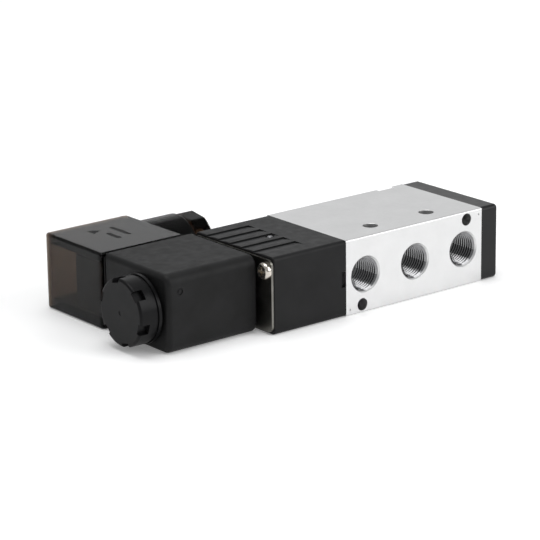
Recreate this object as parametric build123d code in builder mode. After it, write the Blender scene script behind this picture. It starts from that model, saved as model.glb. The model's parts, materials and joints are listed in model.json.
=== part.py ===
from build123d import *
import os

# A 5/2-way solenoid valve of the 22 mm class: aluminium spool body, black end cap and pilot
# block, a coil on an armature tube, and a plug connector with its cable gland.
# Millimetres. The valve lies on Z = 0. X runs along the spool, from the coil to the end cap.
# Y runs from the face with three ports to the face with two. The origin is on the bottom,
# midway between the two mounting holes.

# ------------------------------------------------------------------ driving dimensions
THICK = 22.0                     # thickness of every block
MID_Z = THICK / 2
BODY_L = 51.0                    # aluminium body along X
BODY_D = 35.0                    # aluminium body along Y
FRONT_Y = -7.2                   # face with three ports
BACK_Y = FRONT_Y + BODY_D        # face with two ports
BODY_X0 = -BODY_L / 2
BODY_X1 = BODY_L / 2

PORT_PITCH = 9.2                 # step between neighbouring chambers along the spool
PORT_R = 4.865                   # G1/8 thread, major radius
PORT_MOUTH_R = 5.3
PORT_DEPTH = 10.4
THROAT_R = 2.2
MOUNT_X = 10.5                   # mounting holes at plus and minus this
MOUNT_R = 2.15
MANIFOLD_X = 19.6                # manifold screw holes, from the body's centre
MANIFOLD_Z = 8.6
MANIFOLD_R = 1.8
SPOT_X = 18.4                    # milled relief at each manifold hole, back face
SPOT_R = 3.85
SPOT_DEPTH = 1.7

SPOOL = (FRONT_Y + BODY_D / 2, MID_Z)      # (y, z) of the spool's axis
BORE_R = 5.5
CHAMBER_R = 6.2
LAND_W = 3.0                     # bore land between two chambers
STROKE = 3.0
SPOOL_R = 5.3
STEM_R = 3.0
SEAL_W = 1.6
SEAL_R = BORE_R - 0.05
SEAL_FLOOR_R = 4.4

CAP_T = 6.3                      # end cap along X
PILOT_L = 25.5                   # pilot block along X
PILOT_X0 = BODY_X0 - PILOT_L
PISTON_R = 8.0                   # pilot cylinder
CYLINDER_L = 8.0
PLATE_T = 0.7                    # flange plate
GALLERY = (19.0, 18.6)           # (y, z) of the pilot air gallery
GALLERY_R = 0.9

TUBE = (8.8, MID_Z)              # (y, z) of the armature tube and the coil
TUBE_R = 4.5
TUBE_BORE_R = 4.0
ARMATURE_LIFT = 0.8
COIL_X0, COIL_X1 = -83.0, -53.0
COIL_Y0, COIL_Y1 = -2.2, 27.1
NUT_X0, NUT_X1 = -90.8, -84.0    # coil nut, outer face and flange face
NUT_R = 9.5

PLUG_X0, PLUG_X1 = -83.7, -55.5  # connector housing
PLUG_Y0, PLUG_Y1 = 27.35, 54.8
PLUG_WALL = 1.5                  # its end walls
PLUG_SIDE = 3.0                  # its top and bottom walls
PLUG_X = (PLUG_X0 + PLUG_X1) / 2
GLAND = (47.3, MID_Z)            # (y, z) of the cable gland's axis
BOSS_R = 10.35                   # the housing's gland boss
BOSS_X1 = -42.4
GLAND_NUT_R = 10.0               # over the corners of the nut
GLAND_FACETS = 10
GLAND_X1 = -35.6                 # end of the gland nut
GLAND_BORE_R = 7.05
CABLE_R = 4.2

OVERRIDE = (-38.1, 10.6)         # (x, y) of the manual override
SCREW_R = 1.5                    # M3 screws
HEAD_R = 2.4
HEAD_H = 1.6
PLATE_SCREWS = ((-4.6, 18.1), (24.8, 7.0))     # (y, z)
CAP_SCREWS = ((-3.9, 3.9), (24.4, 14.6))
FIT = 0.05                       # radial clearance of a running fit

CENTRE = Align.CENTER
LOW = Align.MIN
CUT = Mode.SUBTRACT


# ------------------------------------------------------------------ helpers
def rod(axis, x0, x1, radius, mode=Mode.ADD):
    """A round bar along X from x0 to x1 about the line at axis = (y, z)."""
    with Locations((x0, *axis)):
        Cylinder(radius, x1 - x0, rotation=(0, 90, 0), align=(CENTRE, CENTRE, LOW), mode=mode)


def ring(axis, x0, x1, outer, inner, mode=Mode.ADD):
    """A flat-sided ring about an X-directed axis, added or cut as a groove."""
    with BuildSketch(along_x(x0, axis), mode=Mode.PRIVATE) as section:
        Circle(outer)
        Circle(inner, mode=CUT)
    extrude(section.sketch, amount=x1 - x0, mode=mode)


def bar(x0, x1, y0, y1, z0, z1, mode=Mode.ADD):
    """A rectangular bar between two corners."""
    with Locations((x0, y0, z0)):
        Box(x1 - x0, y1 - y0, z1 - z0, align=(LOW, LOW, LOW), mode=mode)


def post(centre, z0, z1, radius, mode=Mode.ADD):
    """A round post along Z about centre = (x, y)."""
    with Locations((*centre, z0)):
        Cylinder(radius, z1 - z0, align=(CENTRE, CENTRE, LOW), mode=mode)


def rod_y(centre, y0, y1, radius, mode=Mode.ADD):
    """A round bar along Y from y0 to y1 about centre = (x, z)."""
    with Locations((centre[0], y0, centre[1])):
        Cylinder(radius, y1 - y0, rotation=(-90, 0, 0), align=(CENTRE, CENTRE, LOW), mode=mode)


def tunnel(start, end, radius):
    """A round hole between two points."""
    length = (Vector(*end) - Vector(*start)).length
    with Locations(Plane(origin=start, z_dir=Vector(*end) - Vector(*start))):
        Cylinder(radius, length, align=(CENTRE, CENTRE, LOW), mode=CUT)


def edges_along(part, axis):
    """The straight edges of a block that run along an axis."""
    return part.edges().filter_by(GeomType.LINE).filter_by(axis)


def round_edges(part, radius):
    """The circular edges of one radius."""
    circles = part.edges().filter_by(GeomType.CIRCLE)
    return circles.filter_by(lambda e: abs(e.radius - radius) < 1e-6)


def screw(length, shank_r=SCREW_R, head_r=HEAD_R, head_h=HEAD_H):
    """A pan-head cross-recess screw: head above Z 0, shank below."""
    with BuildPart() as blank:
        Cylinder(head_r, head_h, align=(CENTRE, CENTRE, LOW))
        fillet(blank.faces().sort_by(Axis.Z)[-1].edges(), head_h * 0.6)
        with Locations((0, 0, head_h)):
            Box(head_r * 1.15, head_r * 0.28, head_h * 1.1, mode=CUT)
            Box(head_r * 0.28, head_r * 1.15, head_h * 1.1, mode=CUT)
        Cylinder(shank_r, length, align=(CENTRE, CENTRE, Align.MAX))
        chamfer(blank.faces().sort_by(Axis.Z)[0].edges(), shank_r * 0.3)
    return blank.part


def spring(length, mean_r, wire_r, turns):
    """A helical spring standing on Z 0."""
    rise = length - 2 * wire_r
    with BuildPart() as coil:
        with BuildLine():
            path = Helix(pitch=rise / turns, height=rise, radius=mean_r, center=(0, 0, wire_r))
        with BuildSketch(Plane(origin=path @ 0, z_dir=path % 0)):
            Circle(wire_r)
        sweep(path=path, is_frenet=True)
    return coil.part


def o_ring(radius, wire_r):
    """An O-ring about the Z axis."""
    with BuildPart() as seal:
        Torus(radius, wire_r)
    return seal.part


def along_x(x, axis, direction=1):
    """A place on an X-directed axis, with local Z along X."""
    return Plane(origin=(x, *axis), z_dir=(direction, 0, 0))


# ------------------------------------------------------------------ valve body
chambers = [(k * PORT_PITCH, PORT_PITCH / 2 - LAND_W / 2) for k in (-1, 0, 1)]
outer_half = 2.7
chambers += [(-2 * PORT_PITCH + 0.4, outer_half), (2 * PORT_PITCH - 0.4, outer_half)]
front_ports = (-2 * PORT_PITCH, 0, 2 * PORT_PITCH)
back_ports = (-PORT_PITCH, PORT_PITCH)
body_screw_depth = 5.5

with BuildPart() as valve_body:
    bar(BODY_X0, BODY_X1, FRONT_Y, BACK_Y, 0, THICK)
    fillet(edges_along(valve_body, Axis.X), 0.5)
    rod(SPOOL, BODY_X0, BODY_X1, BORE_R, CUT)
    for x, half in chambers:
        rod(SPOOL, x - half, x + half, CHAMBER_R, CUT)
    for x in front_ports:
        with Locations(Plane(origin=(x, FRONT_Y, MID_Z), z_dir=(0, -1, 0))):
            CounterSinkHole(PORT_R, PORT_MOUTH_R, PORT_DEPTH)
        rod_y((x, MID_Z), FRONT_Y, SPOOL[0], THROAT_R, CUT)
    for x in back_ports:
        with Locations(Plane(origin=(x, BACK_Y, MID_Z), z_dir=(0, 1, 0))):
            CounterSinkHole(PORT_R, PORT_MOUTH_R, PORT_DEPTH)
        rod_y((x, MID_Z), SPOOL[0], BACK_Y, THROAT_R, CUT)
    for x in (-MOUNT_X, MOUNT_X):
        post((x, 0), 0, THICK, MOUNT_R, CUT)
    chamfer(round_edges(valve_body, MOUNT_R), 0.1)
    for side in (-1, 1):
        centre = (side * MANIFOLD_X, MID_Z + side * MANIFOLD_Z)
        rod_y(centre, FRONT_Y, BACK_Y, MANIFOLD_R, CUT)
        relief = (side * SPOT_X, MID_Z + side * MANIFOLD_Z)
        rod_y(relief, BACK_Y - SPOT_DEPTH, BACK_Y, SPOT_R, CUT)
        rod_y((side * 24.2, MID_Z + side * 9.3), FRONT_Y, FRONT_Y + 0.2, 0.35, CUT)
    for axis in PLATE_SCREWS:
        rod(axis, BODY_X0, BODY_X0 + body_screw_depth, SCREW_R, CUT)
    for axis in CAP_SCREWS:
        rod(axis, BODY_X1 - body_screw_depth, BODY_X1, SCREW_R, CUT)
    rod(GALLERY, BODY_X0, GALLERY_R, GALLERY_R, CUT)
    tunnel((0, *GALLERY), (0, SPOOL[0] + 3, MID_Z + 3), GALLERY_R - 0.2)

# ------------------------------------------------------------------ spool and its seals
spool_end0, spool_end1 = BODY_X0 - 0.7, 23.2
seal_xs = [s * x - STROKE / 2 for x in (23.2, 15.3, 3.1) for s in (-1, 1)]
nub_r = 1.6

with BuildPart() as spool:
    rod(SPOOL, spool_end0, spool_end1, STEM_R)
    rod(SPOOL, spool_end1, BODY_X1 - 0.4, nub_r)
    for x in seal_xs:
        rod(SPOOL, x - SEAL_W / 2 - 0.65, x + SEAL_W / 2 + 0.65, SPOOL_R)
        ring(SPOOL, x - SEAL_W / 2, x + SEAL_W / 2, SPOOL_R + 1, SEAL_FLOOR_R, CUT)

with BuildPart() as spool_seals:
    for x in seal_xs:
        ring(SPOOL, x - SEAL_W / 2, x + SEAL_W / 2, SEAL_R, SEAL_FLOOR_R)
    fillet(round_edges(spool_seals, SEAL_R), 0.4)

with BuildPart() as return_spring:
    spring_length = BODY_X1 + CAP_T - 1.6 - spool_end1
    with Locations(along_x(spool_end1, SPOOL)):
        add(spring(spring_length, 2.6, 0.3, 4.5))

# ------------------------------------------------------------------ end cap
cap_x1 = BODY_X1 + CAP_T
cap_gasket_t = 0.8
cap_pocket_r = 4.2

with BuildPart() as end_cap:
    bar(BODY_X1, cap_x1, FRONT_Y, BACK_Y, 0, THICK)
    fillet(edges_along(end_cap, Axis.X), 1.2)
    fillet(end_cap.faces().sort_by(Axis.X)[-1].edges(), 0.8)
    rod(SPOOL, BODY_X1, cap_x1 - 1.6, cap_pocket_r, CUT)
    rod(SPOOL, BODY_X1, BODY_X1 + cap_gasket_t, 8.0, CUT)
    for axis in CAP_SCREWS:
        rod(axis, BODY_X1, cap_x1, SCREW_R + 0.1, CUT)
        rod(axis, cap_x1 - 2.3, cap_x1, HEAD_R + 0.25, CUT)

with BuildPart() as end_cap_gasket:
    rod(SPOOL, BODY_X1, BODY_X1 + cap_gasket_t, 8.0)
    rod(SPOOL, BODY_X1, BODY_X1 + cap_gasket_t, BORE_R, CUT)

with BuildPart() as end_cap_screws:
    with Locations([along_x(cap_x1 - 2.3, axis) for axis in CAP_SCREWS]):
        add(screw(9.0))

# ------------------------------------------------------------------ pilot block
cylinder_x0 = BODY_X0 - CYLINDER_L
groove_x1 = -36.2
groove_ys = [22.8 - 5.2 * k for k in range(5)]
groove_w, groove_depth = 3.5, 0.4
flange_t = 1.5
ring_wire = 0.6
ring_x = PILOT_X0 + flange_t + ring_wire
seat_x = -46.0                   # floor of the seat chamber
nozzle_r = 2.5
nozzle_x1 = -43.6
gasket_t = 0.8
gasket_box = (0.0, 22.6, 1.6, 20.4)
piston_seal_x0 = cylinder_x0 + 1.7

with BuildPart() as pilot_block:
    bar(PILOT_X0, BODY_X0, FRONT_Y, BACK_Y, 0, THICK)
    fillet(edges_along(pilot_block, Axis.X), 1.3)
    fillet(pilot_block.faces().sort_by(Axis.X)[0].edges(), 0.4)
    for y in groove_ys:
        with BuildSketch(Plane.YZ.offset(PILOT_X0)):
            with BuildLine():
                Polyline((y, THICK), (y, THICK - groove_depth), (y - groove_w, THICK), close=True)
            make_face()
        extrude(amount=groove_x1 - PILOT_X0, mode=CUT)
    bar(BODY_X0 - 1.6, BODY_X0, FRONT_Y, FRONT_Y + 1.0, 8.7, 13.2, CUT)
    rod(SPOOL, cylinder_x0, BODY_X0, PISTON_R, CUT)
    bar(BODY_X0 - gasket_t, BODY_X0, *gasket_box, CUT)
    rod(TUBE, PILOT_X0, PILOT_X0 + flange_t, 7.1, CUT)
    rod(TUBE, PILOT_X0, ring_x + ring_wire, 6.8, CUT)
    rod(TUBE, PILOT_X0, seat_x, 5.2, CUT)
    rod(TUBE, seat_x, nozzle_x1, nozzle_r, CUT)
    rod(TUBE, nozzle_x1, -42.0, 1.6, CUT)
    rod(GALLERY, -43.0, BODY_X0, GALLERY_R, CUT)
    tunnel((-42.7, *GALLERY), (-42.7, *TUBE), 0.8)
    rod((4.6, MID_Z), seat_x, cylinder_x0, 0.8, CUT)
    rod((9.8, MID_Z), -42.3, OVERRIDE[0], 0.6, CUT)
    rod((OVERRIDE[1], 8.6), OVERRIDE[0], cylinder_x0, 0.6, CUT)
    post(OVERRIDE, 5.5, 19.0, SCREW_R + FIT, CUT)
    post(OVERRIDE, 19.0, THICK, 1.0 + FIT, CUT)
    post(OVERRIDE, 21.0, THICK, 1.35, CUT)
    for axis in PLATE_SCREWS:
        rod(axis, PILOT_X0, BODY_X0, SCREW_R + 0.1, CUT)

with BuildPart() as pilot_block_gasket:
    bar(BODY_X0 - gasket_t, BODY_X0, *gasket_box)
    rod(SPOOL, BODY_X0 - gasket_t, BODY_X0, PISTON_R, CUT)
    rod(GALLERY, BODY_X0 - gasket_t, BODY_X0, GALLERY_R + 0.2, CUT)

with BuildPart() as pilot_piston:
    rod(SPOOL, cylinder_x0 + 0.5, cylinder_x0 + 4.5, PISTON_R - 0.2)
    rod(SPOOL, cylinder_x0 + 4.5, spool_end0, STEM_R + 0.4)
    ring(SPOOL, piston_seal_x0, piston_seal_x0 + SEAL_W, PISTON_R, 6.2, CUT)

with BuildPart() as piston_seal:
    ring(SPOOL, piston_seal_x0, piston_seal_x0 + SEAL_W, PISTON_R - FIT, 6.2)
    fillet(round_edges(piston_seal, PISTON_R - FIT), 0.4)

# ------------------------------------------------------------------ manual override
pin_foot, pin_groove, pin_ring_wire = 9.3, 10.0, 0.25

with BuildPart() as override_pin:
    post(OVERRIDE, pin_foot, 18.95, SCREW_R)
    post(OVERRIDE, 18.95, 21.9, 1.0)
    fillet(override_pin.faces().sort_by(Axis.Z)[-1].edges(), 0.6)
    with BuildSketch(Plane.XY.offset(pin_groove)):
        with Locations(OVERRIDE):
            Circle(SCREW_R + 0.5)
            Circle(1.0, mode=CUT)
    extrude(amount=2 * pin_ring_wire, mode=CUT)

with BuildPart() as override_oring:
    with Locations((*OVERRIDE, pin_groove + pin_ring_wire)):
        add(o_ring(1.0 + pin_ring_wire, pin_ring_wire))

with BuildPart() as override_spring:
    with Locations((*OVERRIDE, 5.5)):
        add(spring(pin_foot - 5.5, 1.1, 0.15, 5))

# ------------------------------------------------------------------ pilot solenoid valve
armature_x0, armature_x1 = -68.0, -48.0
core_x1 = armature_x0 - ARMATURE_LIFT - 0.1
core_x0 = -88.6
seat_r = 2.2
seat_t = 1.6
spring_hole_r = 1.6
spring_hole_x1 = -64.0

with BuildPart() as flange_plate:
    with BuildSketch(along_x(PILOT_X0 - PLATE_T, SPOOL)):
        RectangleRounded(20.6, 34.4, 1.6)
    extrude(amount=PLATE_T)
    rod(TUBE, PILOT_X0 - PLATE_T, PILOT_X0, TUBE_R + 0.1, CUT)
    for axis in PLATE_SCREWS:
        rod(axis, PILOT_X0 - PLATE_T, PILOT_X0, SCREW_R + 0.1, CUT)

with BuildPart() as plate_screws:
    plate_face = PILOT_X0 - PLATE_T
    with Locations([along_x(plate_face, axis, -1) for axis in PLATE_SCREWS]):
        add(screw(PLATE_T + PILOT_L + 5.0))

with BuildPart() as armature_tube:
    rod(TUBE, COIL_X0, PILOT_X0 + flange_t, TUBE_R)
    rod(TUBE, PILOT_X0, PILOT_X0 + flange_t, 7.0)
    rod(TUBE, COIL_X0, PILOT_X0 + flange_t, TUBE_BORE_R, CUT)

with BuildPart() as tube_oring:
    with Locations(along_x(ring_x, TUBE)):
        add(o_ring(6.0, ring_wire))

with BuildPart() as fixed_core:
    rod(TUBE, core_x0, core_x1, TUBE_BORE_R)
    chamfer(fixed_core.faces().sort_by(Axis.X)[0].edges(), 0.5)

with BuildPart() as armature:
    rod(TUBE, armature_x0, armature_x1, TUBE_BORE_R - 0.1)
    rod(TUBE, armature_x0, spring_hole_x1, spring_hole_r, CUT)
    rod(TUBE, armature_x1 - seat_t, armature_x1, seat_r, CUT)
    for side in (-1, 1):
        y = TUBE[0] + side * TUBE_BORE_R
        bar(armature_x0, armature_x1, y - 0.8, y + 0.8, MID_Z - 0.5, MID_Z + 0.5, CUT)

with BuildPart() as armature_seat:
    rod(TUBE, armature_x1 - seat_t, armature_x1, seat_r)

with BuildPart() as armature_spring:
    with Locations(along_x(core_x1, TUBE)):
        add(spring(spring_hole_x1 - core_x1, 1.2, 0.18, 5))

with BuildPart() as pilot_nozzle:
    rod(TUBE, seat_x - 0.7, nozzle_x1, nozzle_r)
    rod(TUBE, armature_x1, seat_x - 0.7, 1.1)
    rod(TUBE, armature_x1, nozzle_x1, 0.5, CUT)

# ------------------------------------------------------------------ coil
bobbin_x0, bobbin_x1 = -79.5, -56.5
bobbin_r, flange_r, winding_r = 5.4, 8.6, 8.2
yoke_t = 1.5
yoke_y0 = TUBE[0] - flange_r - 1.4
yoke_z = 8.4                     # half height of the yoke
coil_bore_r = TUBE_R + 0.1
blade_w, blade_t = 6.3, 0.8
blade_y0, blade_y1 = 20.0, 38.0
live_x = PLUG_X - 6.0
live_z = 5.5
earth_x = PLUG_X + 7.0
insert_y0 = 20.5                 # foot of the connector screw's hole in the coil
gate = (-79.0, 17.2)             # (x, z) of the moulding gate's mark

with BuildPart() as bobbin:
    rod(TUBE, bobbin_x0, bobbin_x1, bobbin_r)
    rod(TUBE, bobbin_x0, bobbin_x0 + 1, flange_r)
    rod(TUBE, bobbin_x1 - 1, bobbin_x1, flange_r)
    rod(TUBE, bobbin_x0, bobbin_x1, coil_bore_r, CUT)

with BuildPart() as coil_winding:
    rod(TUBE, bobbin_x0 + 1, bobbin_x1 - 1, winding_r)
    rod(TUBE, bobbin_x0 + 1, bobbin_x1 - 1, bobbin_r, CUT)

with BuildPart() as coil_yoke:
    z0, z1 = MID_Z - yoke_z, MID_Z + yoke_z
    bar(bobbin_x0 - yoke_t, bobbin_x1 + yoke_t, yoke_y0, yoke_y0 + 1.4, z0, z1)
    bar(bobbin_x0 - yoke_t, bobbin_x0, yoke_y0, TUBE[0] + flange_r, z0, z1)
    bar(bobbin_x1, bobbin_x1 + yoke_t, yoke_y0, TUBE[0] + flange_r, z0, z1)
    rod(TUBE, bobbin_x0 - yoke_t, bobbin_x1 + yoke_t, coil_bore_r, CUT)

with BuildPart() as coil_terminals:
    for side in (-1, 1):
        z = MID_Z + side * live_z
        x0, x1 = live_x - blade_w / 2, live_x + blade_w / 2
        bar(x0, x1, blade_y0, blade_y1, z - blade_t / 2, z + blade_t / 2)
    z0, z1 = MID_Z - blade_w / 2, MID_Z + blade_w / 2
    bar(earth_x - blade_t / 2, earth_x + blade_t / 2, blade_y0, blade_y1, z0, z1)

with BuildPart() as coil_body:
    bar(COIL_X0, COIL_X1, COIL_Y0, COIL_Y1, 0, THICK)
    fillet(edges_along(coil_body, Axis.X).group_by(Axis.Y)[0], 3.0)
    fillet(edges_along(coil_body, Axis.X).group_by(Axis.Y)[-1], 0.6)
    fillet(coil_body.faces().sort_by(Axis.X)[0].edges(), 1.5)
    fillet(coil_body.faces().sort_by(Axis.X)[-1].edges(), 0.8)
    rod(TUBE, COIL_X0, COIL_X1, coil_bore_r, CUT)
    rod_y((PLUG_X, MID_Z), insert_y0, COIL_Y1, SCREW_R, CUT)
    rod(PLATE_SCREWS[1], COIL_X1 - 1.2, COIL_X1, HEAD_R + 0.3, CUT)
    rod_y(gate, COIL_Y0, COIL_Y0 + 0.25, 1.0, CUT)
    rod_y(gate, COIL_Y0 + 0.1, COIL_Y0 + 0.5, 0.45)
    for inner in (bobbin, coil_winding, coil_yoke, coil_terminals):
        add(inner.part, mode=CUT)

# ------------------------------------------------------------------ coil nut
insert_r = 5.6
insert_x0 = core_x0 - 0.6
notch_count, notch_w, notch_depth, notch_l = 6, 3.0, 1.25, 2.9
notch_start = 48.0

with BuildPart() as coil_nut:
    rod(TUBE, NUT_X0, NUT_X1 - 0.9, NUT_R - 0.2)
    rod(TUBE, NUT_X0, NUT_X1 - 1.8, NUT_R)
    rod(TUBE, NUT_X1 - 0.9, NUT_X1, NUT_R + 0.2)
    fillet(coil_nut.faces().sort_by(Axis.X)[0].edges(), 0.7)
    for k in range(notch_count):
        turn = notch_start + 360 / notch_count * k
        with BuildSketch(along_x(NUT_X0, TUBE)):
            with Locations(Rot(0, 0, turn)):
                with Locations((NUT_R, 0)):
                    Rectangle(2 * notch_depth, notch_w)
        extrude(amount=notch_l, mode=CUT)
    rod(TUBE, NUT_X0, NUT_X0 + 0.15, 0.7, CUT)
    rod(TUBE, insert_x0, NUT_X1, insert_r, CUT)

with BuildPart() as coil_nut_insert:
    rod(TUBE, insert_x0, NUT_X1, insert_r)
    rod(TUBE, core_x0 - 0.1, NUT_X1, TUBE_BORE_R + FIT, CUT)

with BuildPart() as coil_nut_oring:
    with Locations(along_x((COIL_X0 + NUT_X1) / 2, TUBE)):
        add(o_ring(6.4, (COIL_X0 - NUT_X1) / 2))

# ------------------------------------------------------------------ connector
cavity_x0, cavity_x1 = PLUG_X0 + PLUG_WALL, PLUG_X1 - PLUG_WALL
cavity_y1 = PLUG_Y1 - PLUG_WALL
cavity_z0, cavity_z1 = PLUG_SIDE, THICK - PLUG_SIDE
seal_y1 = 28.3                   # inner face of the connector gasket
block_y0, block_y1 = 28.4, 41.3
clip_y0, clip_y1 = 29.0, 39.5
clip_wall = 0.6
board_y0 = 42.0
screw_head_y = PLUG_Y1 - 2.4
column_r = 2.6
washer_x0 = -50.8
grommet_x0 = -55.3
mark_w = 1.5

with BuildPart() as connector_gasket:
    bar(PLUG_X0 + 1.0, PLUG_X1 - 1.0, COIL_Y1, seal_y1, 1.2, THICK - 1.2)
    bar(cavity_x0 + 1.5, cavity_x1 - 1.5, COIL_Y1, seal_y1, 4.2, THICK - 4.2, CUT)

with BuildPart() as connector_housing:
    bar(PLUG_X0, PLUG_X1, PLUG_Y0, PLUG_Y1, 0, THICK)
    fillet(edges_along(connector_housing, Axis.Z), 1.2)
    fillet(connector_housing.faces().filter_by(Axis.Z).edges(), 0.8)
    rod(GLAND, PLUG_X1 - 1.0, BOSS_X1, BOSS_R)
    fillet(connector_housing.faces().sort_by(Axis.X)[-1].edges(), 0.8)
    bar(cavity_x0, cavity_x1, PLUG_Y0, cavity_y1, cavity_z0, cavity_z1, CUT)
    bar(PLUG_X0 + 1.0, PLUG_X1 - 1.0, PLUG_Y0, seal_y1, 1.2, THICK - 1.2, CUT)
    rod(GLAND, grommet_x0, BOSS_X1, GLAND_BORE_R, CUT)
    rod(GLAND, cavity_x1 - 1, grommet_x0, CABLE_R, CUT)
    rod_y((PLUG_X, MID_Z), screw_head_y, PLUG_Y1, 3.4, CUT)
    rod_y((PLUG_X, MID_Z), cavity_y1 - 1, PLUG_Y1, SCREW_R + 0.2, CUT)
    with BuildSketch(Plane.XY.offset(THICK)):            # plain marks sunk in the top
        with Locations((-66.6, 42.2)):
            SlotOverall(9.4, mark_w, rotation=-90)
        with Locations((-70.8, 39.4)):
            SlotOverall(6.4, mark_w, rotation=-90)
        with BuildLine():
            Polyline((-74.0, 48.0), (-70.8, 46.1), (-74.0, 44.2), close=True)
        make_face()
    extrude(amount=-0.4, mode=CUT)

with BuildPart() as contact_clips:
    half_w = blade_w / 2 + clip_wall
    half_t = blade_t / 2 + clip_wall
    for side in (-1, 1):
        z = MID_Z + side * live_z
        bar(live_x - half_w, live_x + half_w, clip_y0, clip_y1, z - half_t, z + half_t)
    bar(earth_x - half_t, earth_x + half_t, clip_y0, clip_y1, MID_Z - half_w, MID_Z + half_w)
    add(coil_terminals.part, mode=CUT)

with BuildPart() as terminal_block:
    bar(cavity_x0 + 0.3, cavity_x1 - 0.3, block_y0, block_y1, cavity_z0 + 0.3, cavity_z1 - 0.3)
    fillet(edges_along(terminal_block, Axis.Y), 0.6)
    rod_y((PLUG_X, MID_Z), block_y0, block_y1, SCREW_R + 0.3, CUT)
    add(contact_clips.part, mode=CUT)
    add(coil_terminals.part, mode=CUT)
    for side in (-1, 1):
        z = MID_Z + side * live_z
        x0, x1 = live_x - blade_w / 2, live_x + blade_w / 2
        bar(x0, x1, block_y0, clip_y0, z - blade_t / 2, z + blade_t / 2, CUT)
        rod_y((live_x, z), clip_y1, block_y1, 1.4, CUT)
    z0, z1 = MID_Z - blade_w / 2, MID_Z + blade_w / 2
    bar(earth_x - blade_t / 2, earth_x + blade_t / 2, block_y0, clip_y0, z0, z1, CUT)
    rod_y((earth_x, MID_Z), clip_y1, block_y1, 1.4, CUT)

with BuildPart() as terminal_screws:
    places = [(live_x, MID_Z - live_z), (live_x, MID_Z + live_z), (earth_x, MID_Z)]
    up_y = [Plane(origin=(x, clip_y1 + 0.7, z), z_dir=(0, 1, 0)) for x, z in places]
    with Locations(up_y):
        add(screw(0.7, shank_r=1.0, head_r=1.3, head_h=1.0))

with BuildPart() as indicator_board:
    bar(cavity_x0 + 3.0, cavity_x1 - 4.0, board_y0, board_y0 + 1.0, cavity_z0 + 1.6, cavity_z1 - 1.6)
    rod_y((PLUG_X, MID_Z), board_y0, board_y0 + 1.0, SCREW_R + 0.3, CUT)

with BuildPart() as indicator_led:
    led = (PLUG_X - 6.0, MID_Z + 3.0)
    rod_y(led, board_y0 + 1.0, board_y0 + 1.8, 1.9)
    rod_y(led, board_y0 + 1.8, board_y0 + 4.2, 1.5)
    fillet(indicator_led.faces().sort_by(Axis.Y)[-1].edges(), 1.2)

with BuildPart() as board_resistor:
    rod((board_y0 + 2.0, MID_Z - 3.6), PLUG_X - 5.5, PLUG_X - 1.0, 1.0)

with BuildPart() as connector_screw:
    washer_t = 0.5
    with Locations(Plane(origin=(PLUG_X, screw_head_y + washer_t, MID_Z), z_dir=(0, 1, 0))):
        add(screw(screw_head_y + washer_t - insert_y0 - 0.5, head_r=2.6))

with BuildPart() as connector_screw_washer:
    rod_y((PLUG_X, MID_Z), screw_head_y, screw_head_y + washer_t, 3.3)
    rod_y((PLUG_X, MID_Z), screw_head_y, screw_head_y + washer_t, SCREW_R, CUT)

# ------------------------------------------------------------------ cable gland
with BuildPart() as gland_grommet:
    rod(GLAND, grommet_x0, washer_x0, GLAND_BORE_R - 0.05)
    rod(GLAND, grommet_x0, washer_x0, 3.0, CUT)

with BuildPart() as gland_washer:
    rod(GLAND, washer_x0, washer_x0 + 0.7, GLAND_BORE_R - 0.15)
    rod(GLAND, washer_x0, washer_x0 + 0.7, CABLE_R, CUT)

nut_x0 = BOSS_X1 + 0.7
nut_turn = 26.0

with BuildPart() as gland_nut:
    with BuildSketch(along_x(nut_x0, GLAND)):
        RegularPolygon(GLAND_NUT_R, GLAND_FACETS, rotation=nut_turn)
    extrude(amount=GLAND_X1 - nut_x0)
    fillet(edges_along(gland_nut, Axis.X), 1.2)
    chamfer(gland_nut.faces().sort_by(Axis.X)[-1].edges(), 0.8)
    chamfer(gland_nut.faces().sort_by(Axis.X)[0].edges(), 0.3)
    rod(GLAND, washer_x0 + 0.8, nut_x0 + 0.1, GLAND_BORE_R - FIT)
    rod(GLAND, washer_x0 + 0.8, GLAND_X1, CABLE_R, CUT)

# ------------------------------------------------------------------ output
pieces = {
    "valve_body": valve_body,
    "spool": spool,
    "spool_seals": spool_seals,
    "return_spring": return_spring,
    "end_cap": end_cap,
    "end_cap_gasket": end_cap_gasket,
    "end_cap_screws": end_cap_screws,
    "pilot_block": pilot_block,
    "pilot_block_gasket": pilot_block_gasket,
    "pilot_piston": pilot_piston,
    "piston_seal": piston_seal,
    "override_pin": override_pin,
    "override_oring": override_oring,
    "override_spring": override_spring,
    "flange_plate": flange_plate,
    "plate_screws": plate_screws,
    "armature_tube": armature_tube,
    "tube_oring": tube_oring,
    "fixed_core": fixed_core,
    "armature": armature,
    "armature_seat": armature_seat,
    "armature_spring": armature_spring,
    "pilot_nozzle": pilot_nozzle,
    "bobbin": bobbin,
    "coil_winding": coil_winding,
    "coil_yoke": coil_yoke,
    "coil_terminals": coil_terminals,
    "coil_body": coil_body,
    "coil_nut": coil_nut,
    "coil_nut_insert": coil_nut_insert,
    "coil_nut_oring": coil_nut_oring,
    "connector_gasket": connector_gasket,
    "connector_housing": connector_housing,
    "contact_clips": contact_clips,
    "terminal_block": terminal_block,
    "terminal_screws": terminal_screws,
    "indicator_board": indicator_board,
    "indicator_led": indicator_led,
    "board_resistor": board_resistor,
    "connector_screw": connector_screw,
    "connector_screw_washer": connector_screw_washer,
    "gland_grommet": gland_grommet,
    "gland_washer": gland_washer,
    "gland_nut": gland_nut,
}

os.makedirs("parts", exist_ok=True)
for name, piece in pieces.items():
    piece.part.label = name
    export_step(piece.part, f"parts/{name}.step")
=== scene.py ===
"""Looks of the 22 mm class solenoid valve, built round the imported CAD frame.

Lengths are in metres, and in millimetres where a name ends in mm or a comment says so.
"""

import json
import math

import bpy
from mathutils import Matrix, Vector


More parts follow.
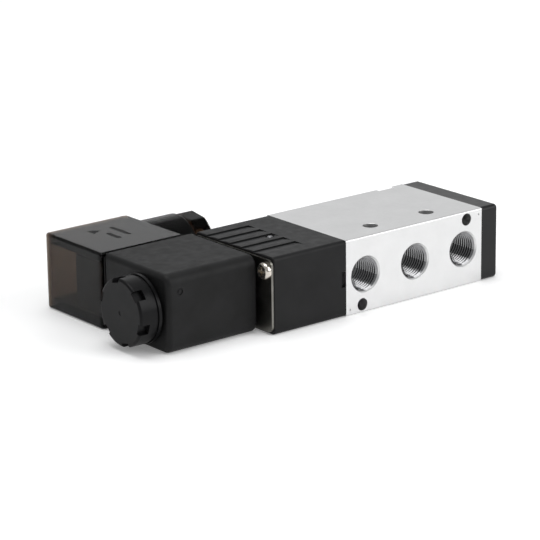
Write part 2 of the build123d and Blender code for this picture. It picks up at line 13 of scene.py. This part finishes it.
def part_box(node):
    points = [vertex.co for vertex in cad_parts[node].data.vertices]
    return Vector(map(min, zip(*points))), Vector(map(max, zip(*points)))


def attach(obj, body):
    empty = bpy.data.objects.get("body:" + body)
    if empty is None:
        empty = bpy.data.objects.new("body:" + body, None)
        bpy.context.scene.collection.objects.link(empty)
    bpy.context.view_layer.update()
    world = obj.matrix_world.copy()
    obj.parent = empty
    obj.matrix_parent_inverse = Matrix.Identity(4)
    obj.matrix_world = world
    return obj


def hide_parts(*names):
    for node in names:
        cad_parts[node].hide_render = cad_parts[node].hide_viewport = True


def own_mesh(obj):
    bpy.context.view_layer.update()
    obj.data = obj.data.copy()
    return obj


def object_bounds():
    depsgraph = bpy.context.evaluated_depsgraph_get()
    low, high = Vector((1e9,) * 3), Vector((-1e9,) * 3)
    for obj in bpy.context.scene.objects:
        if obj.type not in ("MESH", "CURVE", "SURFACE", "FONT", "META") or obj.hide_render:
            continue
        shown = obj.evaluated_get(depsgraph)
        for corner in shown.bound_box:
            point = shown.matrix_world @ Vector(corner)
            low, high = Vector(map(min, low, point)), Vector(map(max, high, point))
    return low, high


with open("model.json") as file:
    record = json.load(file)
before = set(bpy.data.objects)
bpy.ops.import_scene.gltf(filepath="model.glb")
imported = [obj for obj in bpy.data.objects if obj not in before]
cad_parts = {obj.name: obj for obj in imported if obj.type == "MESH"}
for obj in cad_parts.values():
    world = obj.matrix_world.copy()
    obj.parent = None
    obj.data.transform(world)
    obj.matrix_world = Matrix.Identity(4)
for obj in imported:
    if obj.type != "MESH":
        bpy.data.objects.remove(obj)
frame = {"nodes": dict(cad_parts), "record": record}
cad_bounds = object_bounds()
MM = 0.001
nodes = frame["nodes"]
mounts = {m["name"]: m for m in frame["record"]["mounts"]}

TABLE_HALF = 3.0
TABLE_GAP = 0.02 * MM              # between the table and the valve's underside

PITCH_MM = 25.4 / 28               # G1/8 has 28 threads to the inch
THREAD_DEPTH_MM = 10.25            # how far a thread runs into its port
THREAD_START_MM = 0.1              # from the port face to the first turn
RIDGE_SINK_MM = 0.02               # how far a ridge's foot stands in the port's wall
RIDGE_HEIGHT_MM = 0.58

MARK_WIDTH_MM = 1.4
MARK_FLOOR_MM = 21.61              # just above the floor of the connector's sunk marks
MARK_TOP_MM = 21.95                # just under the connector's top face


# ------------------------------------------------------------------ camera, light and table
def mesh_object(name, verts, faces, material):
    """A new object with flat faces and one material."""
    mesh = bpy.data.meshes.new(name)
    mesh.from_pydata(verts, [], faces)
    mesh.materials.append(material)
    obj = bpy.data.objects.new(name, mesh)
    bpy.context.collection.objects.link(obj)
    return obj


def aim(obj, target, roll=0.0):
    """Points an object's -Z at a target, turned by roll about that line."""
    look = (Vector(target) - obj.location).to_track_quat("-Z", "Y")
    obj.rotation_mode = "QUATERNION"
    obj.rotation_quaternion = look @ Matrix.Rotation(roll, 4, "Z").to_quaternion()


def make_camera():
    """A long lens, a little above the valve and to the left of its port face, with plain colours."""
    data = bpy.data.cameras.new("camera")
    data.lens = 172.9
    data.sensor_width = 36.0
    data.clip_start, data.clip_end = 0.05, 20.0
    camera = bpy.data.objects.new("camera", data)
    camera.location = (-0.46747, -0.53144, 0.22425)
    aim(camera, target=(-0.0339, 0.0161, 0.0099), roll=math.radians(-0.79))
    bpy.context.collection.objects.link(camera)
    scene = bpy.context.scene
    scene.camera = camera
    scene.view_settings.view_transform = "Standard"


def area_light(name, place, target, size, power):
    """A square white soft box."""
    data = bpy.data.lights.new(name, "AREA")
    data.shape = "SQUARE"
    data.size = size
    data.energy = power
    light = bpy.data.objects.new(name, data)
    light.location = place
    aim(light, target)
    bpy.context.collection.objects.link(light)


def make_lights():
    """The even light of a photo tent, with three soft boxes."""
    world = bpy.data.worlds.new("tent")
    bpy.context.scene.world = world
    world.use_nodes = True
    background = world.node_tree.nodes["Background"]
    background.inputs["Color"].default_value = (0.98, 0.99, 1.0, 1)
    background.inputs["Strength"].default_value = 0.43
    area_light("overhead", (-0.1, 0.1, 1.1), target=(0, 0, 0), size=0.8, power=6.6)
    area_light("front", (0.7, -1.1, 0.72), target=(0, 0, 0.01), size=1.0, power=10.5)
    area_light("back", (1.15, 1.45, 0.8), target=(0, 0, 0.01), size=1.2, power=2.1)


def make_table():
    """A white table that reaches past the picture on every side."""
    corners = [(x * TABLE_HALF, y * TABLE_HALF, 0) for x, y in ((-1, -1), (1, -1), (1, 1), (-1, 1))]
    table = mesh_object("table", corners, [(0, 1, 2, 3)], table_material())
    table.location.z = cad_bounds[0].z - TABLE_GAP


# ------------------------------------------------------------------ material helpers
class Shader:
    """A node material under construction, with texture coordinates in metres."""

    def __init__(self, name):
        self.material = bpy.data.materials.new(name)
        self.material.use_nodes = True
        self.tree = self.material.node_tree
        self.bsdf = self.tree.nodes["Principled BSDF"]
        self.coords = self.add("ShaderNodeTexCoord").outputs["Object"]

    def add(self, kind, **values):
        """A new node, with its own properties set."""
        node = self.tree.nodes.new(kind)
        for key, value in values.items():
            setattr(node, key, value)
        return node

    def link(self, source, target):
        self.tree.links.new(source, target)

    def set(self, **values):
        """Sets the shader's own sockets, with _ for the spaces in their names."""
        for key, value in values.items():
            self.bsdf.inputs[key.replace("_", " ")].default_value = value

    def stretched(self, scale):
        """The coordinates, scaled on each axis."""
        mapping = self.add("ShaderNodeMapping")
        mapping.inputs["Scale"].default_value = scale
        self.link(self.coords, mapping.inputs["Vector"])
        return mapping.outputs["Vector"]

    def noise(self, size_mm, detail=2.0, stretch=(1, 1, 1)):
        """Noise whose grains are about size_mm across, longer where stretch is under 1."""
        texture = self.add("ShaderNodeTexNoise")
        texture.inputs["Scale"].default_value = 1.0 / (size_mm * MM)
        texture.inputs["Detail"].default_value = detail
        self.link(self.stretched(stretch), texture.inputs["Vector"])
        return texture.outputs["Fac"]

    def mottled(self, source, dark, light):
        """Base colour that runs between two colours with a source."""
        ramp = self.add("ShaderNodeValToRGB")
        low, high = ramp.color_ramp.elements
        low.position, high.position = 0.3, 0.7
        low.color, high.color = (*dark, 1), (*light, 1)
        self.link(source, ramp.inputs["Fac"])
        self.link(ramp.outputs["Color"], self.bsdf.inputs["Base Color"])

    def bump(self, source, height_mm, strength):
        """Bump from a height source, stacked on any bump made before."""
        node = self.add("ShaderNodeBump")
        node.inputs["Distance"].default_value = height_mm * MM
        node.inputs["Strength"].default_value = strength
        self.link(source, node.inputs["Height"])
        normal = self.bsdf.inputs["Normal"]
        if normal.is_linked:
            self.link(normal.links[0].from_socket, node.inputs["Normal"])
        self.link(node.outputs["Normal"], normal)

    def rough(self, source, low, high):
        """Roughness from low to high, over the middle half of a 0..1 source."""
        node = self.add("ShaderNodeMapRange")
        node.inputs["From Min"].default_value = 0.25
        node.inputs["From Max"].default_value = 0.75
        node.inputs["To Min"].default_value = low
        node.inputs["To Max"].default_value = high
        self.link(source, node.inputs["Value"])
        self.link(node.outputs["Result"], self.bsdf.inputs["Roughness"])


def table_material():
    """Matt white, with a faint glow in place of the light that a photo tent throws back."""
    shader = Shader("table_white")
    shader.mottled(shader.noise(60), (0.93, 0.93, 0.93), (0.95, 0.95, 0.95))
    shader.set(Roughness=0.6, Specular_IOR_Level=0.2)
    shader.set(Emission_Color=(1, 1, 1, 1), Emission_Strength=0.17)
    return shader.material


def aluminium():
    """Satin blasted and anodised extrusion, with faint lines along X."""
    shader = Shader("satin_aluminium")
    shader.set(Metallic=1.0)
    shader.mottled(shader.noise(7, 4), (0.68, 0.68, 0.68), (0.72, 0.72, 0.72))
    shader.rough(shader.noise(1.2, 4), 0.36, 0.46)
    shader.bump(shader.noise(0.12, 3), 0.006, 0.55)
    shader.bump(shader.noise(0.5, 2, stretch=(0.04, 1, 1)), 0.003, 0.35)
    return shader.material


def thread_metal_painted_shade():
    """Cut aluminium, painted much darker than the body's aluminium to stand in for the shade inside its
    port.
    """
    shader = Shader("cut_aluminium")
    shader.set(Metallic=1.0)
    # painted shade: a dark base colour in place of the shade deep in the port
    shader.mottled(shader.noise(1.0), (0.20, 0.20, 0.205), (0.26, 0.26, 0.265))
    shader.rough(shader.noise(0.3), 0.10, 0.18)
    shader.bump(shader.noise(0.2, 2, stretch=(1, 8, 1)), 0.004, 0.3)
    return shader.material


def moulded(name, dark, light, rough, grain_mm=0.12, depth_mm=0.008, specular=0.16):
    """Moulded plastic with a fine spark-eroded texture."""
    shader = Shader(name)
    shader.set(IOR=1.5, Specular_IOR_Level=specular)
    shader.mottled(shader.noise(9, 3), dark, light)
    shader.rough(shader.noise(2.5, 4), *rough)
    shader.bump(shader.noise(grain_mm, 2), depth_mm, 0.6)
    shader.bump(shader.noise(6, 2), 0.02, 0.12)
    return shader.material


def nickel():
    """Bright nickel plate, slightly warm."""
    shader = Shader("nickel_plate")
    shader.set(Metallic=1.0)
    shader.mottled(shader.noise(2.5, 3), (0.50, 0.46, 0.40), (0.66, 0.62, 0.56))
    shader.rough(shader.noise(2.0, 2), 0.16, 0.24)
    shader.bump(shader.noise(1.2, 1), 0.006, 0.2)
    return shader.material


def turned_metal(name, dark, light, rough=(0.2, 0.34)):
    """Turned metal, with fine rings round the X axis."""
    shader = Shader(name)
    shader.set(Metallic=1.0)
    shader.mottled(shader.noise(3, 3), dark, light)
    shader.rough(shader.noise(0.8, 3), *rough)
    shader.bump(shader.noise(0.1, 2, stretch=(1, 0.03, 0.03)), 0.004, 0.4)
    return shader.material


def smoky(name, tint, density, ior, rough):
    """See-through smoky brown polycarbonate, darker where it is thicker."""
    shader = Shader(name)
    shader.set(Transmission_Weight=1.0, IOR=ior)
    shader.mottled(shader.noise(14, 2), (0.78, 0.74, 0.70), (0.86, 0.82, 0.78))
    shader.rough(shader.noise(3, 3), *rough)
    absorption = shader.add("ShaderNodeVolumeAbsorption")
    absorption.inputs["Color"].default_value = (*tint, 1)
    absorption.inputs["Density"].default_value = density
    output = shader.tree.nodes["Material Output"]
    shader.link(absorption.outputs["Volume"], output.inputs["Volume"])
    return shader.material


def rubber():
    """Matt black nitrile rubber."""
    shader = Shader("nitrile_rubber")
    shader.set(IOR=1.45)
    shader.mottled(shader.noise(2, 3), (0.012, 0.012, 0.012), (0.022, 0.022, 0.022))
    shader.rough(shader.noise(1, 3), 0.55, 0.7)
    shader.bump(shader.noise(0.2, 2), 0.006, 0.4)
    return shader.material


def winding():
    """Enamelled wire, wound side by side round the X axis."""
    shader = Shader("copper_winding")
    shader.set(Metallic=0.8)
    wave = shader.add("ShaderNodeTexWave", bands_direction="X")
    wave.inputs["Scale"].default_value = 1.0 / (2.2 * MM)
    shader.link(shader.coords, wave.inputs["Vector"])
    shader.mottled(shader.noise(1.5), (0.50, 0.20, 0.09), (0.65, 0.30, 0.14))
    shader.rough(shader.noise(1), 0.25, 0.4)
    shader.bump(wave.outputs["Fac"], 0.08, 0.8)
    return shader.material


def laminate():
    """Printed circuit board."""
    shader = Shader("board_laminate")
    shader.mottled(shader.noise(0.5, 3), (0.30, 0.22, 0.12), (0.40, 0.30, 0.17))
    shader.rough(shader.noise(1), 0.35, 0.5)
    shader.bump(shader.noise(0.5, 2), 0.01, 0.3)
    return shader.material


def lamp():
    """Clear red epoxy."""
    shader = Shader("lamp_epoxy")
    shader.set(Transmission_Weight=0.6, IOR=1.5)
    shader.mottled(shader.noise(2), (0.55, 0.04, 0.03), (0.70, 0.07, 0.05))
    shader.rough(shader.noise(1), 0.08, 0.15)
    return shader.material


# ------------------------------------------------------------------ materials
# One for each slot of the record.
SLOT_MATERIALS = {
    "aluminium_body": aluminium(),
    "black_plastic": moulded("black_nylon", (0.007, 0.007, 0.0075), (0.011, 0.011, 0.0115),
                             rough=(0.40, 0.52)),
    "coil_plastic": moulded("coil_overmould", (0.007, 0.007, 0.007), (0.011, 0.011, 0.0115),
                            rough=(0.46, 0.58), grain_mm=0.2, depth_mm=0.010),
    "nut_plastic": moulded("nut_nylon", (0.004, 0.004, 0.0045), (0.007, 0.007, 0.0075),
                           rough=(0.30, 0.40), grain_mm=0.1, depth_mm=0.005, specular=0.12),
    "smoky_plastic": smoky("smoky_polycarbonate", tint=(0.50, 0.43, 0.36), density=1700,
                           ior=1.23, rough=(0.08, 0.14)),
    "nickel_steel": nickel(),
    "stainless": turned_metal("stainless_steel", (0.50, 0.50, 0.50), (0.62, 0.62, 0.62)),
    "spool_alloy": turned_metal("anodised_spool", (0.62, 0.62, 0.64), (0.74, 0.74, 0.76)),
    "seal_rubber": rubber(),
    "white_acetal": moulded("white_acetal", (0.74, 0.73, 0.69), (0.82, 0.81, 0.77),
                            rough=(0.3, 0.4)),
    "brass": turned_metal("turned_brass", (0.62, 0.45, 0.20), (0.76, 0.58, 0.28)),
    "tinned_blades": turned_metal("tinned_blade", (0.60, 0.60, 0.58), (0.72, 0.72, 0.70)),
    "copper_wire": winding(),
    "block_plastic": moulded("block_nylon", (0.016, 0.016, 0.017), (0.024, 0.024, 0.025),
                             rough=(0.45, 0.55)),
    "board_laminate": laminate(),
    "lamp_red": lamp(),
    "resistor_body": moulded("resistor_lacquer", (0.48, 0.36, 0.20), (0.58, 0.44, 0.26),
                             rough=(0.3, 0.4)),
}

# Nodes whose look differs from the rest of their slot.
NODE_MATERIALS = {
    "end_cap": moulded("cap_nylon", (0.008, 0.008, 0.0085), (0.012, 0.012, 0.0125),
                       rough=(0.30, 0.38), specular=0.22),
    "gland_nut": smoky("smoky_nut", tint=(0.52, 0.43, 0.32), density=1150, ior=1.17,
                       rough=(0.05, 0.09)),
    # Painted shade: the flange plate's zinc is darkened for the shade in the gap between the coil and the
    # pilot block.
    "flange_plate": turned_metal("zinc_plate", (0.15, 0.145, 0.13), (0.21, 0.205, 0.19),
                                 rough=(0.28, 0.38)),
    # Painted shade: the override pin's steel is darkened for the shade of the hole it stands in.
    "override_pin": turned_metal("pin_steel", (0.16, 0.16, 0.17), (0.24, 0.24, 0.25),
                                 rough=(0.26, 0.34)),
}
# The port threads' metal, painted dark for the shade inside the ports.
THREAD_METAL_PAINTED_SHADE = thread_metal_painted_shade()
MARK_PAINT = moulded("mark_paint", (0.004, 0.004, 0.004), (0.006, 0.006, 0.006), rough=(0.5, 0.6))


def dress_nodes():
    """Gives every CAD node its own material, or else its slot's."""
    slots = {s["node"]: s["material_slot"] for s in frame["record"]["subparts"]}
    for name, obj in nodes.items():
        obj.data.materials.clear()
        obj.data.materials.append(NODE_MATERIALS.get(name, SLOT_MATERIALS[slots[name]]))


# ------------------------------------------------------------------ pieces
def helical_ridge(name, root_mm, crest_mm, turns):
    """A thread's ridge in a bore about Z, in mm, from Z 0 downwards and faded at both ends."""
    half_root = 0.46 * PITCH_MM
    half_crest = 0.07 * PITCH_MM
    steps_per_turn = 48
    fade_turns = 0.4
    least_height = 0.02            # of the full height, left at the faded ends
    start_angle = 1.2
    steps = int(turns * steps_per_turn)
    verts = []
    for i in range(steps + 1):
        turn = i / steps_per_turn
        fade = min(1.0, turn / fade_turns, (turns - turn) / fade_turns)
        inner = root_mm + (crest_mm - root_mm) * max(fade, least_height)
        angle = 2 * math.pi * turn + start_angle
        z = -PITCH_MM * turn - half_root
        section = ((root_mm, -half_root), (inner, -half_crest), (inner, half_crest), (root_mm, half_root))
        verts += [(r * math.cos(angle), r * math.sin(angle), z + dz) for r, dz in section]
    faces = []
    for i in range(steps):
        for k in range(4):
            a, b = 4 * i + k, 4 * i + (k + 1) % 4
            faces.append((a, b, b + 4, a + 4))
    faces.append((3, 2, 1, 0))
    faces.append(tuple(4 * steps + k for k in range(4)))
    return mesh_object(name, verts, faces, THREAD_METAL_PAINTED_SHADE)


def body_face_y(direction):
    """The place of the valve body's back face, or of its front face if direction is negative."""
    low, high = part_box("valve_body")
    return high.y if direction > 0 else low.y


def port_threads():
    """The G1/8 thread in each port of the body."""
    turns = (THREAD_DEPTH_MM - PITCH_MM) / PITCH_MM
    for name, mount in mounts.items():
        if not name.startswith("port_") or mount["kind"] != "threaded_hole":
            continue
        radius_mm = mount["dims"]["r_mm"]
        ridge = helical_ridge(name.replace("port", "thread"), radius_mm + RIDGE_SINK_MM,
                              radius_mm - RIDGE_HEIGHT_MM, turns)
        out = Vector(mount["axis"])
        mouth = Vector(mount["pos_m"])
        mouth.y = body_face_y(out.y) - out.y * THREAD_START_MM * MM
        facing = out.to_track_quat("Z", "X").to_matrix().to_4x4()
        ridge.data.transform(Matrix.Translation(mouth) @ facing @ Matrix.Scale(MM, 4))
        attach(ridge, "valve")


def flat_shape(name, outline, bottom_mm, top_mm, material):
    """A closed plate with the outline of (x, y) points in mm, between two heights."""
    count = len(outline)
    verts = [(x * MM, y * MM, z * MM) for z in (bottom_mm, top_mm) for x, y in outline]
    faces = [tuple(reversed(range(count))), tuple(range(count, 2 * count))]
    faces += [(k, (k + 1) % count, count + (k + 1) % count, count + k) for k in range(count)]
    obj = mesh_object(name, verts, faces, material)
    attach(obj, "valve")
    return obj


def slot_outline(x, y, length):
    """A mark with round ends, along Y about (x, y), in mm."""
    steps = 10
    r = MARK_WIDTH_MM / 2
    half_straight = (length - MARK_WIDTH_MM) / 2
    angles = [math.pi * k / steps for k in range(steps + 1)]
    upper = [(x + r * math.cos(a), y + half_straight + r * math.sin(a)) for a in angles]
    return upper + [(2 * x - px, 2 * y - py) for px, py in upper]


def top_marks():
    """Black paint that fills the connector's sunk marks. Places are in mm."""
    shapes = {"mark_long": slot_outline(-66.6, 42.2, length=9.3),
              "mark_short": slot_outline(-70.8, 39.4, length=6.3),
              "mark_triangle": [(-73.94, 47.89), (-73.94, 44.31), (-70.93, 46.1)]}
    for name, outline in shapes.items():
        flat_shape(name, outline, MARK_FLOOR_MM, MARK_TOP_MM, MARK_PAINT)


def springs():
    """The three inner springs, each a copy of its CAD node's mesh that takes the node's place."""
    # name: (joint, the direction in which it pushes, its travel in mm)
    held = {"return_spring": ("spool_shift", Vector((1, 0, 0)), 3.0),
            "armature_spring": ("armature_lift", Vector((-1, 0, 0)), 0.8),
            "override_spring": ("override_press", Vector((0, 0, -1)), 1.2)}
    for name, (joint, push, travel_mm) in held.items():
        node = nodes[name]
        coil = bpy.data.objects.new("sprung_" + name, node.data.copy())
        coil.matrix_world = node.matrix_world.copy()
        bpy.context.collection.objects.link(coil)
        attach(coil, "valve")
        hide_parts(name)
        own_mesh(coil)


make_camera()
make_lights()
make_table()
dress_nodes()
port_threads()
top_marks()
springs()
